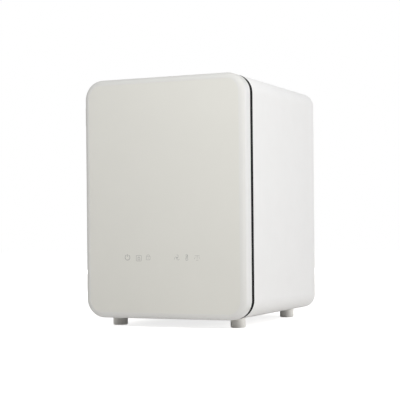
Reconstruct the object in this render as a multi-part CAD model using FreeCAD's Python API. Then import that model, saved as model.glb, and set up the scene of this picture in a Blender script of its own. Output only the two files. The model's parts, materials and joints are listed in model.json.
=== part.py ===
import FreeCAD, Part
import math
import os

# A cabinet sterilizer and dryer for baby bottles, in millimetres.
# The origin is on the floor under the middle of the cabinet, X to the right, Z up, door towards -Y.

Vector = FreeCAD.Vector

# Cabinet
case_width = 300.0
case_height = 412.4
case_depth = 369.0
front_corner_radius = 33.0
rear_corner_radius = 25.0
case_wall = 3.0
rear_bevel = 2.0
rear_lip = 5.0
rear_flange_width = 10.0
rear_flange_thickness = 3.0
rear_cover_thickness = 2.5
rear_cover_gap = 0.4

# Feet
foot_height = 15.6
foot_diameter = 25.8
foot_edge = 1.4
foot_recess_diameter = 11.0
foot_recess_depth = 8.0
foot_side_margin = 37.6
front_foot_margin = 58.7
rear_foot_margin = 60.2
foot_boss_diameter = 11.0
foot_boss_height = 9.0
foot_boss_roof = 1.5
foot_screw_diameter = 4.0
foot_screw_head = 8.4
foot_screw_head_height = 2.8
foot_screw_slot = 1.2

# Door
door_thickness = 27.6
door_gap = 11.2
door_edge_radius = 9.6
door_wall = 2.5
door_panel_thickness = 3.0
door_panel_seam = 0.3
door_panel_edge = 0.5
door_web = 2.0
inner_panel_thickness = 2.0
inner_panel_gap = 0.3
pan_wall = 2.0
pan_depth = 11.0
pan_margin = 8.0
pan_draft = 4.0
gasket_inset = 11.5
gasket_width = 10.0
gasket_clearance = 0.3
gasket_fold = 1.8
gasket_fold_depth = 3.0
door_screw_height = 150.0
door_screw_inset = 7.0
door_screw_diameter = 2.6
door_screw_head = 5.6
door_screw_head_height = 1.2
door_post_diameter = 6.5

# Touch keys behind the front panel
key_height = 104.5
key_group_left = (-66.6, -44.4, -26.3)
key_group_right = (27.2, 44.8, 64.9)
key_pad_diameter = 9.0
key_board_width = 172.0
key_board_height = 30.0
key_board_thickness = 1.6
key_board_corner = 2.0
key_window_margin = 5.0
key_chip_size = (12.0, 1.6, 9.0)
key_connector_size = (10.0, 5.5, 6.0)
key_connector_inset = 17.2

# Hinge
hinge_inset = 6.0
hinge_depth = 5.0
hinge_height = 62.0
hinge_arm_thickness = 3.0
hinge_arm_width = 6.0
hinge_eye_diameter = 8.0
hinge_pin_diameter = 4.0
hinge_bush_diameter = 7.0
hinge_bush_length = 7.0
hinge_bush_flange = 0.8
hinge_running_gap = 0.05
hinge_side_gap = 0.3
hinge_pocket_gap = 0.7
hinge_pin_end_gap = 1.0
hinge_pin_chamfer = 0.4
hinge_pocket_depth = 6.0
hinge_leaf_width = 15.0
hinge_leaf_height = 34.0
hinge_leaf_thickness = 2.0
hinge_leaf_inset = 1.0
hinge_leaf_corner = 2.5
hinge_block_height = 30.0
hinge_block_width = 16.0
hinge_block_gap = 0.3
hinge_screw_diameter = 3.0
hinge_screw_head = 5.4
hinge_screw_spacing = 24.0
hinge_screw_length = 13.4

# Magnetic catch
catch_height = 90.0
catch_inset = 3.5
magnet_width = 7.0
magnet_length = 26.0
magnet_thickness = 4.0
magnet_edge = 1.0
strike_length = 30.0
strike_thickness = 1.0
strike_corner = 1.5
reed_switch_length = 22.0
reed_switch_depth = 6.0

# Front frame
frame_inset = 1.0
frame_thickness = 5.0
spigot_length = 12.0
spigot_wall = 2.0
spigot_gap = 0.2

# Sterilizing chamber: the room that the case leaves round it
chamber_side_margin = 24.0
chamber_floor = 51.4
chamber_top_margin = 27.0
chamber_rear_margin = 70.2
chamber_radius = 14.0
liner_wall = 1.0
liner_flange = 10.0
exhaust_slot_length = 60.0
exhaust_slot_height = 5.0
exhaust_slot_pitch = 12.0
exhaust_slot_count = 4

# Racks, rails and tray
rack_heights = {"lower_rack": 40.0, "upper_rack": 190.0}
rack_rod_diameter = 5.0
rack_cross_diameter = 4.0
rack_wire_diameter = 2.6
rack_stretcher_width = 8.0
rack_stretcher_thickness = 1.5
rack_wire_count = 9
rack_overhang = 4.0
rack_front_gap = 14.0
rack_rear_gap = 22.0
rack_side_gap = 0.2
rack_play = 0.5
rail_depth = 9.0
rail_web = 1.5
rail_lip = 2.0
rail_front_gap = 18.0
rail_rear_gap = 12.0
rail_seat = 0.1
tray_side_gap = 0.5
tray_front_gap = 12.0
tray_rear_gap = 16.0
tray_height = 15.0
tray_wall = 1.2
tray_corner_radius = 18.0
tray_rim = 3.0
sensor_clip_size = (2.0, 14.0, 8.0)
sensor_bead_diameter = 6.0
sensor_bead_length = 18.0
sensor_bead_seat = 0.5
sensor_rear_gap = 40.0
sensor_drop = 60.0

# Ultraviolet lamps
lamp_end_room = 7.8
lamp_diameter = 16.0
lamp_cap_length = 7.0
lamp_pin_diameter = 2.4
lamp_pin_length = 6.0
lamp_pin_spacing = 5.0
lamp_standoff = 20.0
lamp_socket_thickness = 12.0
lamp_socket_width = 21.0
lamp_socket_gap = 0.2
socket_wall_gap = 0.1
lamp_ceiling_setback = 150.0
lamp_rear_height = 139.0
reflector_sheet = 0.8
reflector_end_gap = 2.0
reflector_ridge = 12.0
reflector_ridge_gap = 4.0
reflector_flange = 3.0
guard_sheet = 0.8
guard_width = 38.0
guard_nose = 24.0
guard_drop = 19.0
guard_foot = 4.0
guard_rib = 3.0
guard_windows = 5
guard_end_gap = 8.0
guard_clearance = 1.0

# Warm air: grille, heater, duct and fan
air_height = 69.0
grille_size = 92.0
grille_thickness = 2.0
grille_edge = 0.8
grille_radius = 8.0
grille_slot_length = 70.0
grille_slot_height = 4.0
grille_slot_count = 8
duct_size = 92.0
duct_length = 22.0
duct_wall = 2.0
duct_radius = 6.0
air_opening = 80.0
heater_depth = 14.0
heater_bars = 4
heater_bar_height = 5.0
heater_fins = 15
heater_fin_thickness = 0.8
heater_fin_setback = 1.0
heater_gap = 0.2
fan_depth = 25.0
fan_bore = 88.0
fan_waist_core = 92.0
fan_base_diameter = 38.0
fan_base_thickness = 4.0
fan_strut_count = 4
fan_strut_width = 5.0
fan_screw_spacing = 82.5
fan_screw_hole = 4.3
fan_hub_diameter = 36.0
fan_hub_length = 17.0
fan_hub_wall = 2.0
fan_blades = 5
fan_tip_gap = 1.2
fan_blade_root_pitch = 52.0
fan_blade_tip_pitch = 34.0
fan_blade_chord = 22.0
fan_blade_thickness = 2.2
fan_blade_thickest_share = 0.4
fan_shaft_diameter = 3.0
fan_bearing_diameter = 8.0
fan_running_gap = 0.05
fan_hub_clearance = 1.0
fan_hub_edge = 2.0
fan_camber = 1.8
fan_shaft_end_gap = 0.5
cutout_diameter = 16.0
cutout_height = 7.0
cutout_tab_size = (4.0, 0.8, 8.0)
cutout_tab_spacing = 8.0
cutout_tab_root = 1.0

# Filter drawer
filter_width = 116.0
filter_height = 22.0
filter_depth = 98.0
filter_base = 18.4
filter_wall = 2.5
filter_gap = 0.4
filter_ledge = 2.0
filter_window_margin = 7.5
filter_edge = 1.0
filter_pleats = 12
filter_media_height = 12.0
filter_media_core = 4.2
filter_media_gap = 0.2
housing_wall = 2.0
housing_ledge = 8.0
pull_width = 50.0
pull_height = 12.0
pull_depth = 9.0
pull_corner = 4.8
pull_edge = 3.0
intake_slot_pitch = 12.4
intake_slot_count = 7
intake_slot_length = 56.0
intake_slot_width = 4.0

# Rear cover
louvre_rows = 6
louvre_length = 42.0
louvre_height = 3.6
louvre_pitch = 10.0
louvre_side_margin = 45.0
louvre_column_pitch = 50.0
louvre_hood = 1.6
louvre_top_margin = 40.4
cover_screw_diameter = 3.0
cover_screw_head = 5.6
cover_screw_head_height = 2.0
cover_screw_slot = 0.8
cover_screw_slot_length = 3.4
cover_screw_inset = 10.0

# Power inlet
inlet_side_margin = 42.0
inlet_base = 34.0
inlet_width = 22.0
inlet_height = 14.0
inlet_corner = 3.0
inlet_depth = 18.0
inlet_shoulder = 3.0
inlet_recess_depth = 11.0
inlet_recess_radius = 4.0
inlet_recess_waist = 6.0
inlet_pin_spacing = 8.6
inlet_pin_diameter = 2.4
inlet_pin_length = 9.0
inlet_pin_edge = 0.8

# Boards and carriers inside the case
board_thickness = 1.6
board_corner = 2.0
board_width = 86.0
board_side_margin = 66.0
board_louvre_gap = 7.0
main_board_length = 104.0
power_board_length = 124.0
standoff_length = 10.0
standoff_width = 5.0
standoff_inset = 5.0

# Parts on the boards: width, height over the board and length, and the spacing of those that repeat
processor_size = (14.0, 1.8, 14.0)
relay_size = (15.0, 15.0, 19.0)
relay_pitch = 24.0
relay_count = 2
connector_size = (8.0, 9.0, 14.0)
connector_pitch = 22.0
connector_count = 4
core_size = (28.0, 22.0, 24.0)
winding_size = (20.0, 24.0, 14.0)
capacitor_diameter = 16.0
capacitor_height = 24.0
capacitor_pitch = 22.0
capacitor_count = 2
choke_diameter = 20.0
choke_height = 12.0
heat_sink_size = (3.0, 20.0, 56.0)
heat_sink_fin = (6.0, 16.0, 1.6)
heat_sink_fins = 5
heat_sink_pitch = 12.0
part_edge_gap = 7.0

# Sheet metal on the case's floor
chassis_thickness = 1.2
chassis_side_margin = 46.0
chassis_front_margin = 62.0
chassis_corner = 6.0
support_width = 24.0
support_foot = 9.6
support_side_margin = 36.0
support_sheet = 1.2
support_front_gap = 41.3
support_rear_gap = 25.0
ballast_size = (104.0, 40.0, 24.0)
ballast_corner = 2.0
ballast_tab = (10.0, 24.0, 1.2)
ballast_tab_corner = 3.0

# Length that a tool passes the face it has to cut
cone_end_room = 3.0

# Distance under which two places count as one, when edges are picked
same_place = 1e-4

# Levels and planes that follow from the sizes above
front_y = -case_depth / 2
rear_y = case_depth / 2
bottom_z = foot_height
top_z = foot_height + case_height
half_width = case_width / 2
door_rear_y = front_y + door_thickness
case_front_y = door_rear_y + door_gap
frame_front_y = case_front_y - frame_thickness
web_front_y = front_y + door_panel_thickness
web_rear_y = web_front_y + door_web
inner_front_y = door_rear_y - inner_panel_thickness
flange_rear_y = rear_y - rear_flange_thickness
flange_front_y = flange_rear_y - rear_flange_thickness
cover_rear_y = flange_rear_y + rear_cover_thickness
case_floor_z = bottom_z + case_wall
floor_z = bottom_z + chamber_floor
ceiling_z = top_z - chamber_top_margin
half_chamber = half_width - chamber_side_margin
chamber_rear_y = rear_y - chamber_rear_margin
liner_rear_y = chamber_rear_y + liner_wall
gasket_rear_y = frame_front_y - gasket_clearance
lamp_length = 2 * (half_chamber - lamp_end_room - lamp_socket_thickness - lamp_socket_gap)
hinge_x = -half_width + hinge_inset
hinge_y = door_rear_y - hinge_depth
hinge_levels = (bottom_z + hinge_height, top_z - hinge_height)
catch_levels = (bottom_z + case_height / 2 - catch_height, bottom_z + case_height / 2 + catch_height)
catch_x = half_width - catch_inset - magnet_width / 2
air_z = floor_z + air_height
fan_front_y = liner_rear_y + duct_length
fan_rear_y = fan_front_y + fan_depth
key_z = bottom_z + key_height
filter_front_y = flange_front_y - filter_depth
louvre_top_z = top_z - louvre_top_margin
board_top_z = louvre_top_z - louvre_rows * louvre_pitch - board_louvre_gap
board_z = board_top_z - power_board_length / 2
board_x = half_width - board_side_margin
chassis_rear_y = filter_front_y - filter_gap - housing_wall
support_middles = (case_front_y + support_front_gap + support_width / 2,
                   chassis_rear_y - support_rear_gap - support_foot - support_width / 2)


def span(centre, size):
    """The range that a size takes about its centre."""
    return (centre - size / 2, centre + size / 2)


def box(x, y, z):
    """A block over three ranges."""
    return Part.makeBox(x[1] - x[0], y[1] - y[0], z[1] - z[0], Vector(x[0], y[0], z[0]))


def rod(start, end, radius):
    """A round bar between two points."""
    a = Vector(*start)
    b = Vector(*end)
    return Part.makeCylinder(radius, (b - a).Length, a, b - a)


def rounded_wire(x, z, radius, y):
    """A rectangle with round corners in the plane y: four quarter arcs and four sides."""
    (x0, x1), (z0, z1) = x, z
    k = radius * (1 - math.sqrt(0.5))
    corners = [
        ((x1 - radius, z0), (x1 - k, z0 + k), (x1, z0 + radius)),
        ((x1, z1 - radius), (x1 - k, z1 - k), (x1 - radius, z1)),
        ((x0 + radius, z1), (x0 + k, z1 - k), (x0, z1 - radius)),
        ((x0, z0 + radius), (x0 + k, z0 + k), (x0 + radius, z0)),
    ]
    edges = []
    for index, arc in enumerate(corners):
        start, middle, end = [Vector(px, y, pz) for px, pz in arc]
        edges.append(Part.Arc(start, middle, end).toShape())
        next_x, next_z = corners[(index + 1) % len(corners)][0]
        edges.append(Part.LineSegment(end, Vector(next_x, y, next_z)).toShape())
    return Part.Wire(edges)


def slab(x, z, radius, y):
    """A plate with round corners, upright, over the depth range y."""
    face = Part.Face(rounded_wire(x, z, radius, y[0]))
    return face.extrude(Vector(0, y[1] - y[0], 0))


def prism(corners, direction):
    """A polygon drawn out along a direction."""
    points = [Vector(*corner) for corner in corners]
    return Part.Face(Part.makePolygon(points + points[:1])).extrude(Vector(*direction))


def drafted_slab(x, z, radius, y, draft):
    """A plate with round corners whose sides draw in by a draft towards its far face."""
    (x0, x1), (z0, z1), (y0, y1) = x, z, y
    inner_x, inner_z = (x0 + radius, x1 - radius), (z0 + radius, z1 - radius)
    upright = [(y0, z0), (y0, z1), (y1, z1 - draft), (y1, z0 + draft)]
    across = [(x0, y0), (x1, y0), (x1 - draft, y1), (x0 + draft, y1)]
    pieces = [
        prism([(inner_x[0], py, pz) for py, pz in upright], (inner_x[1] - inner_x[0], 0, 0)),
        prism([(px, py, inner_z[0]) for px, py in across], (0, 0, inner_z[1] - inner_z[0])),
    ]
    cross = [box(inner_x, y, (z0 - radius, z1 + radius)), box((x0 - radius, x1 + radius), y, inner_z)]
    for px in inner_x:
        for pz in inner_z:
            cone = Part.makeCone(radius, radius - draft, y1 - y0, Vector(px, y0, pz), Vector(0, 1, 0))
            pieces.append(cut(cone, cross))
    return fuse(pieces)


def edges_along(shape, direction):
    """The straight edges of a shape that run along a direction."""
    found = []
    for edge in shape.Edges:
        if edge.Curve.TypeId == "Part::GeomLine":
            if edge.Curve.Direction.cross(direction).Length < same_place:
                found.append(edge)
    return found


def edges_on_plane(shape, y):
    """The edges of a shape that lie in the upright plane y."""
    boxes = [(edge, edge.BoundBox) for edge in shape.Edges]
    return [edge for edge, b in boxes if abs(b.YMin - y) < same_place and abs(b.YMax - y) < same_place]


def fuse(shapes):
    """One solid from shapes that meet."""
    return shapes[0].multiFuse(shapes[1:]).removeSplitter()


def cut(shape, tools):
    """A shape with every tool taken out of it."""
    return shape.cut(tools)


def both_sides(shape):
    """A shape and its mirror image across the cabinet's middle plane."""
    return [shape, shape.mirror(Vector(0, 0, 0), Vector(1, 0, 0))]


def outline(inset):
    """The cabinet's front outline, drawn in by an inset: its X range and its Z range."""
    return (-half_width + inset, half_width - inset), (bottom_z + inset, top_z - inset)


def outline_slab(inset, y):
    """A plate in the shape of the cabinet's front outline, drawn in by an inset."""
    x, z = outline(inset)
    return slab(x, z, front_corner_radius - inset, y)


def outline_ring(outer_inset, inner_inset, y):
    """A ring between two insets of the cabinet's front outline."""
    return cut(outline_slab(outer_inset, y), [outline_slab(inner_inset, y)])


def case_radius(y):
    """The corner radius of the case, which tightens steadily from front to rear."""
    share = (y - case_front_y) / (rear_y - case_front_y)
    return front_corner_radius + (rear_corner_radius - front_corner_radius) * share


def case_form(inset, y):
    """The case's form over a depth range, drawn in by an inset.

    Its sides are flat, and each tightening corner is a slice of a cone that touches both sides.
    """
    (x0, x1), (z0, z1) = outline(inset)
    near, far = case_radius(y[0]) - inset, case_radius(y[1]) - inset
    room = box((x0 - near, x1 + near), y, (z0 - near, z1 + near))
    cross = case_cross(inset, y, near)
    pieces = case_cross(inset, y, 0)
    for x, side in ((x0, 1), (x1, -1)):
        for z, rise in ((z0, 1), (z1, -1)):
            start = Vector(x + side * near, y[0], z + rise * near)
            end = Vector(x + side * far, y[1], z + rise * far)
            cone = corner_cone(start, end, (near, far), Vector(side, 0, rise))
            pieces.append(cut(cone.common(room), cross))
    return fuse(pieces)


def case_cross(inset, y, grow):
    """The two blocks that fill the case's form between its corners, grown lengthwise at their ends."""
    (x0, x1), (z0, z1) = outline(inset)
    near, far = case_radius(y[0]) - inset, case_radius(y[1]) - inset
    across = [(x0 + near, y[0]), (x1 - near, y[0]), (x1 - far, y[1]), (x0 + far, y[1])]
    upright = [(y[0], z0 + near), (y[0], z1 - near), (y[1], z1 - far), (y[1], z0 + far)]
    return [
        prism([(px, py, z0 - grow) for px, py in across], (0, 0, z1 - z0 + 2 * grow)),
        prism([(x0 - grow, py, pz) for py, pz in upright], (x1 - x0 + 2 * grow, 0, 0)),
    ]


def corner_cone(start, end, reach, inward):
    """A cone that touches two planes, whose distance from its axis is given at both ends.

    It is longer than that at each end, and its seam faces inward.
    """
    axis = end - start
    slope = (reach[1] - reach[0]) / axis.Length
    spread = 1 / math.sqrt(1 - slope * slope)
    length = axis.Length + 2 * cone_end_room
    axis.normalize()
    radii = [(reach[0] - slope * cone_end_room) * spread, (reach[1] + slope * cone_end_room) * spread]
    cone = Part.makeCone(radii[0], radii[1], length)
    turn = FreeCAD.Rotation(inward, Vector(), axis, "ZXY")
    cone.Placement = FreeCAD.Placement(start - axis * cone_end_room, turn)
    return cone


# The case and what closes it


def foot_places():
    """The middle of each foot on the floor, by its node name."""
    places = {}
    across = half_width - foot_side_margin
    for side, x in (("left", -across), ("right", across)):
        for end, y in (("front", front_y + front_foot_margin), ("rear", rear_y - rear_foot_margin)):
            places["foot_" + end + "_" + side] = (x, y)
    return places


def case_body():
    """The outside form of the case, filled."""
    body = case_form(0, (case_front_y, rear_y))
    return body.makeChamfer(rear_bevel, edges_on_plane(body, rear_y))


def intake_slots(z):
    """The air slots under the filter drawer."""
    middle = flange_front_y - filter_depth / 2
    slots = []
    for index in range(intake_slot_count):
        x = (index - (intake_slot_count - 1) / 2) * intake_slot_pitch
        slots.append(box(span(x, intake_slot_width), span(middle, intake_slot_length), z))
    return slots


def outer_case():
    hollow = case_form(case_wall, (case_front_y, flange_front_y))
    x, z = outline(rear_lip)
    seat = slab(x, z, rear_corner_radius - rear_lip, (flange_rear_y, rear_y))
    x, z = outline(rear_lip + rear_flange_width)
    opening = slab(x, z, rear_corner_radius - rear_lip, (flange_front_y, flange_rear_y))
    shell = cut(case_body(), [hollow, seat, opening])
    bosses = []
    screw_holes = []
    for x, y in foot_places().values():
        base = (x, y, bottom_z + case_wall / 2)
        top = (x, y, case_floor_z + foot_boss_height)
        bosses.append(rod(base, top, foot_boss_diameter / 2))
        screw_holes.append(rod((x, y, bottom_z), (x, y, foot_screw_top()), foot_screw_diameter / 2))
    screw_holes += [cover_screw_hole(place) for place in cover_screw_places()]
    shell = fuse([shell] + bosses)
    return cut(shell, screw_holes + intake_slots((bottom_z - 1, case_floor_z + 1)))


def foot_screw_top():
    return case_floor_z + foot_boss_height - foot_boss_roof


def foot(place):
    """A turned foot with a bevelled sole, a screw recess and a top that follows the case."""
    x, y = place
    body = Part.makeCylinder(foot_diameter / 2, bottom_z + case_wall, Vector(x, y, 0))
    sole = [e for e in body.Edges if abs(e.BoundBox.ZMax) < same_place]
    body = body.makeChamfer(foot_edge, sole)
    recess = Part.makeCylinder(foot_recess_diameter / 2, foot_recess_depth, Vector(x, y, 0))
    hole = rod((x, y, 0), (x, y, bottom_z), foot_screw_diameter / 2)
    return cut(body, [case_body(), recess, hole])


def foot_screw(place):
    x, y = place
    head_z = foot_recess_depth - foot_screw_head_height
    head = rod((x, y, head_z), (x, y, foot_recess_depth), foot_screw_head / 2)
    shank = rod((x, y, head_z + foot_screw_slot), (x, y, foot_screw_top()), foot_screw_diameter / 2)
    slot = box(span(x, foot_screw_head), span(y, foot_screw_slot), (head_z, head_z + foot_screw_slot))
    return head.fuse(shank).cut(slot).removeSplitter()


def cover_screw_places():
    """Six screws at the sides of the rear cover, on the middle of the case's rear flange."""
    x, z = outline(cover_screw_inset)
    corner = rear_corner_radius
    middle = (z[0] + z[1]) / 2
    places = []
    for side in x:
        places += [(side, z[0] + corner), (side, middle), (side, z[1] - corner)]
    return places


def cover_screw_hole(place):
    x, z = place
    return rod((x, flange_front_y, z), (x, rear_y, z), cover_screw_diameter / 2)


def cover_screw(place):
    """A pan head screw sunk level with the rear cover."""
    x, z = place
    shank_y = cover_rear_y - cover_screw_head_height / 2
    slot_y = (cover_rear_y - cover_screw_slot, cover_rear_y)
    shank = rod((x, flange_front_y, z), (x, shank_y, z), cover_screw_diameter / 2)
    slots = [
        box(span(x, cover_screw_slot_length), slot_y, span(z, cover_screw_slot)),
        box(span(x, cover_screw_slot), slot_y, span(z, cover_screw_slot_length)),
    ]
    return cover_screw_seat(place).fuse(shank).cut(slots).removeSplitter()


def cover_screw_seat(place):
    """The round sink in the rear cover that a screw's head fills."""
    x, z = place
    return rod((x, cover_rear_y - cover_screw_head_height, z), (x, cover_rear_y, z), cover_screw_head / 2)


def filter_opening(gap):
    """The filter drawer's face, grown by a gap: its X range and its Z range."""
    base = bottom_z + filter_base
    return (-filter_width / 2 - gap, filter_width / 2 + gap), (base - gap, base + filter_height + gap)


def rear_cover():
    """The rear panel, with hooded louvres over the boards and openings for the drawer and the inlet."""
    x, z = outline(rear_lip + rear_cover_gap)
    radius = rear_corner_radius - rear_lip - rear_cover_gap
    y = (flange_rear_y, cover_rear_y)
    plate = slab(x, z, radius, y)
    hoods = []
    slots = []
    outer_column = half_width - louvre_side_margin
    inner_column = outer_column - louvre_column_pitch
    for column in (-outer_column, -inner_column, inner_column, outer_column):
        for row in range(louvre_rows):
            level = louvre_top_z - row * louvre_pitch
            slots.append(box(span(column, louvre_length), y, span(level, louvre_height)))
            hoods.append(louvre_blade(column, level))
    x, z = filter_opening(filter_gap)
    slots.append(box(x, y, z))
    slots.append(inlet_block(0, y))
    for place in cover_screw_places():
        slots += [cover_screw_hole(place), cover_screw_seat(place)]
    return fuse([cut(plate, slots)] + hoods)


def louvre_blade(x, z):
    """A slanted blade that closes a slot to the straight view, from its upper edge down and inward."""
    drop = louvre_height + louvre_hood
    reach = louvre_height + louvre_hood
    top = z + louvre_height / 2
    points = [
        (flange_rear_y + louvre_hood, top + louvre_hood / 2),
        (flange_rear_y + louvre_hood, top - louvre_hood / 2),
        (flange_rear_y - reach, top - drop),
        (flange_rear_y - reach, top - drop + louvre_hood),
        (flange_rear_y, top + louvre_hood / 2),
    ]
    return prism([(x - louvre_length / 2, y, height) for y, height in points], (louvre_length, 0, 0))


# The door


def hinge_pocket(level):
    """The room in the door for one hinge arm, open at the rear and at the left side."""
    right = hinge_x + hinge_eye_diameter / 2 + hinge_pocket_gap
    y = (hinge_y - hinge_pocket_depth, case_front_y)
    return box((-half_width - hinge_inset, right), y, span(level, pocket_height()))


def pocket_height():
    return hinge_arm_thickness + 2 * (hinge_side_gap + hinge_bush_flange)


def hinge_bores(level, radius):
    """The upright bore for the two bushes of one hinge."""
    length = pocket_height() + 2 * hinge_bush_length
    z0, z1 = span(level, length)
    return rod((hinge_x, hinge_y, z0), (hinge_x, hinge_y, z1), radius)


def hinge_block(level, gap):
    """The solid corner of the door round one hinge, grown by a gap."""
    x = (-half_width + door_wall / 2, -half_width + hinge_block_width + gap)
    return box(x, (web_rear_y - door_web / 2, door_rear_y), span(level, hinge_block_height + 2 * gap))


def door_post_places():
    """The four screws at the sides that hold the door's inner panel."""
    x, z = outline(door_screw_inset)
    levels = (z[0] + door_screw_height, z[1] - door_screw_height)
    return [(side, level) for side in x for level in levels]


def key_window():
    """The opening in the door's web behind the touch keys: its X range and its Z range."""
    width = key_board_width - 2 * key_window_margin
    return span(0, width), span(key_z, key_board_height - 2 * key_window_margin)


def door_frame():
    """The white door moulding: a rounded rim round the recess of the front panel, and a hollow back."""
    rim = outline_slab(0, (front_y, door_rear_y))
    rim = rim.makeFillet(door_edge_radius, edges_on_plane(rim, front_y))
    recess = outline_slab(door_edge_radius, (front_y, web_front_y))
    hollow = outline_slab(door_wall, (web_rear_y, door_rear_y))
    shell = cut(rim, [recess, hollow])
    added = []
    for level in hinge_levels:
        added.append(hinge_block(level, 0))
    removed = []
    for x, z in door_post_places():
        added.append(rod((x, web_rear_y - door_web / 2, z), (x, inner_front_y, z), door_post_diameter / 2))
        removed.append(door_screw_hole(x, z))
    added = [piece.common(outline_slab(door_wall / 2, (web_front_y, door_rear_y))) for piece in added]
    for level in hinge_levels:
        removed.append(hinge_pocket(level))
        removed.append(hinge_bores(level, hinge_bush_diameter / 2))
    x, z = key_window()
    removed.append(box(x, (front_y, web_rear_y), z))
    return cut(fuse([shell] + added), removed)


def door_screw_hole(x, z):
    return rod((x, web_rear_y + door_web, z), (x, door_rear_y, z), door_screw_diameter / 2)


def door_screw_seat(x, z):
    return rod((x, door_rear_y - door_screw_head_height, z), (x, door_rear_y, z), door_screw_head / 2)


def door_screw(x, z):
    """A screw sunk level with the door's inner panel."""
    return door_screw_seat(x, z).fuse(door_screw_hole(x, z)).removeSplitter()


def door_front_panel():
    """The flat warm-coloured panel in the door's recess, with a fine seam all round."""
    panel = outline_slab(door_edge_radius + door_panel_seam, (front_y, web_front_y))
    return panel.makeChamfer(door_panel_edge, edges_on_plane(panel, front_y))


def door_pan(shrink, y):
    """The raised middle of the inner panel, which reaches into the mouth with drafted sides."""
    (x0, x1), (z0, z1) = chamber_ranges(0)
    margin = pan_margin + shrink
    return drafted_slab((x0 + margin, x1 - margin), (z0 + margin, z1 - margin), chamber_radius, y, pan_draft)


def door_inner_panel():
    """The door's liner: a plate in the door's rear with a drafted pan that enters the chamber's mouth."""
    plate = outline_slab(door_wall + inner_panel_gap, (inner_front_y, door_rear_y))
    pan = door_pan(0, (door_rear_y, door_rear_y + pan_depth))
    hollow = door_pan(pan_wall, (inner_front_y, door_rear_y + pan_depth - pan_wall))
    removed = [hollow] + [hinge_block(level, hinge_block_gap) for level in hinge_levels]
    for x, z in door_post_places():
        removed += [door_screw_hole(x, z), door_screw_seat(x, z)]
    return cut(fuse([plate, pan]), removed)


def door_gasket():
    """The black seal: a ring with a fold in each side, pressed on the inner panel."""
    y = (door_rear_y, gasket_rear_y)
    inner_edge = gasket_inset + gasket_width
    fold_y = span((y[0] + y[1]) / 2, gasket_fold)
    outer_fold = outline_ring(gasket_inset, gasket_inset + gasket_fold_depth, fold_y)
    inner_fold = outline_ring(inner_edge - gasket_fold_depth, inner_edge, fold_y)
    return cut(outline_ring(gasket_inset, inner_edge, y), [outer_fold, inner_fold])


def touch_board():
    """The key board behind the web, with its connector and driver chip."""
    x, z = span(0, key_board_width), span(key_z, key_board_height)
    rear = web_rear_y + key_board_thickness
    pieces = [slab(x, z, key_board_corner, (web_rear_y, rear))]
    for middle, size in ((0, key_chip_size), (x[1] - key_connector_inset, key_connector_size)):
        pieces.append(box(span(middle, size[0]), (rear, rear + size[1]), span(key_z, size[2])))
    return fuse(pieces)


def key_pads():
    """One sensing pad per touch key, from the board forward to the front panel."""
    pads = []
    for x in key_group_left + key_group_right:
        pads.append(rod((x, web_front_y, key_z), (x, web_rear_y, key_z), key_pad_diameter / 2))
    return Part.makeCompound(pads)


def door_magnet(level):
    y = (inner_front_y - magnet_thickness, inner_front_y)
    return slab(span(catch_x, magnet_width), span(level, magnet_length), magnet_edge, y)


def strike_plate(level):
    """The steel plate that a magnet pulls to, let into the front frame."""
    y = (frame_front_y, frame_front_y + strike_thickness)
    return slab(span(catch_x, magnet_width), span(level, strike_length), strike_corner, y)


def hinge_bushes():
    """Two flanged bushes per hinge, facing each other across the pocket."""
    bushes = []
    for level in hinge_levels:
        for side in (-1, 1):
            inner = level + side * (hinge_arm_thickness / 2 + hinge_side_gap)
            face = level + side * pocket_height() / 2
            outer = face + side * hinge_bush_length
            flange = rod((hinge_x, hinge_y, inner), (hinge_x, hinge_y, face), hinge_eye_diameter / 2)
            sleeve = rod((hinge_x, hinge_y, face), (hinge_x, hinge_y, outer), hinge_bush_diameter / 2)
            bore = hinge_pin_diameter / 2 + hinge_running_gap
            hole = rod((hinge_x, hinge_y, inner), (hinge_x, hinge_y, outer), bore)
            bushes.append(flange.fuse(sleeve).cut(hole).removeSplitter())
    return Part.makeCompound(bushes)


def hinge_pin(level):
    half = pocket_height() / 2 + hinge_bush_length - hinge_pin_end_gap
    pin = rod((hinge_x, hinge_y, level - half), (hinge_x, hinge_y, level + half), hinge_pin_diameter / 2)
    return pin.makeChamfer(hinge_pin_chamfer, [e for e in pin.Edges if e.BoundBox.ZLength < same_place])


def hinge_leaf(level, y):
    """The hinge's mounting leaf, let into the front frame."""
    return slab(leaf_range(), span(level, hinge_leaf_height), hinge_leaf_corner, y)


def leaf_range():
    start = -half_width + frame_inset + hinge_leaf_inset
    return (start, start + hinge_leaf_width)


def hinge_bracket(level):
    """A steel leaf with a forward arm, whose eye holds the pin inside the door's pocket."""
    leaf = hinge_leaf(level, (frame_front_y, frame_front_y + hinge_leaf_thickness))
    z0, z1 = span(level, hinge_arm_thickness)
    arm = box(span(hinge_x, hinge_arm_width), (hinge_y, frame_front_y + hinge_leaf_thickness / 2), (z0, z1))
    eye = rod((hinge_x, hinge_y, z0), (hinge_x, hinge_y, z1), hinge_eye_diameter / 2)
    hole = rod((hinge_x, hinge_y, z0), (hinge_x, hinge_y, z1), hinge_pin_diameter / 2)
    screws = [hinge_screw(x, z) for x, z in hinge_screw_places(level)]
    return cut(fuse([leaf, arm, eye]), [hole] + screws)


def hinge_screw_places(level):
    x0, x1 = leaf_range()
    return [((x0 + x1) / 2, z) for z in span(level, hinge_screw_spacing)]


def hinge_screw(x, z):
    """A countersunk screw through the leaf and the frame into the spigot's boss."""
    start = Vector(x, frame_front_y, z)
    depth = (hinge_screw_head - hinge_screw_diameter) / 2
    head = Part.makeCone(hinge_screw_head / 2, hinge_screw_diameter / 2, depth, start, Vector(0, 1, 0))
    shank = rod((x, frame_front_y, z), (x, frame_front_y + hinge_screw_length, z), hinge_screw_diameter / 2)
    return fuse([head, shank])


# The front frame and the chamber


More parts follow.
